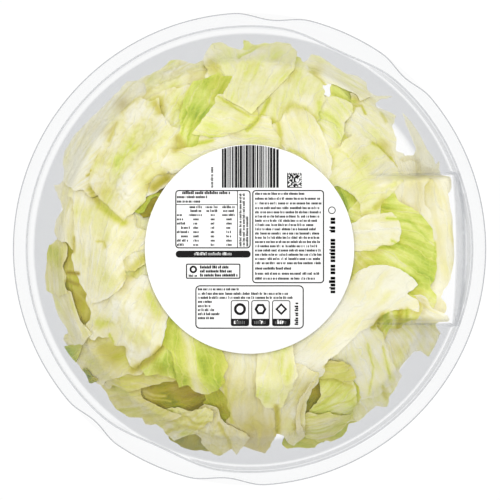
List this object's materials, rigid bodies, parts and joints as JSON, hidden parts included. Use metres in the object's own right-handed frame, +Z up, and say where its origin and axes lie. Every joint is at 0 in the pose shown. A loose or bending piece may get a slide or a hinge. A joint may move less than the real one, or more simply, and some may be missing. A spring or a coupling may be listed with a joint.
{
  "type": "packaged salad bowl",
  "caption": "Clear round plastic bowl packed with cut lettuce and sealed with clear film, lying on its lid with the labelled base and square side pocket showing.",
  "frame": {"origin": "middle of the underside, on the outer face of the lid film that the pack lies on", "axes": "+Z up, from the lid film to the labelled base; +X through the middle of the square side pocket; +Y to its left when facing along +X"},
  "size_m": [0.212, 0.2112, 0.0587],
  "materials": {
    "clear_plastic": "clear glossy thermoformed sheet",
    "lid_film": "clear glossy film",
    "label_paper": "white satin paper label",
    "lettuce": "cut lettuce leaves, cream ribs and pale green blades"
  },
  "bodies": {
    "root": {"bowl": "clear_plastic", "film": "lid_film", "label": "label_paper", "salad": "lettuce"}
  },
  "joints": []
}
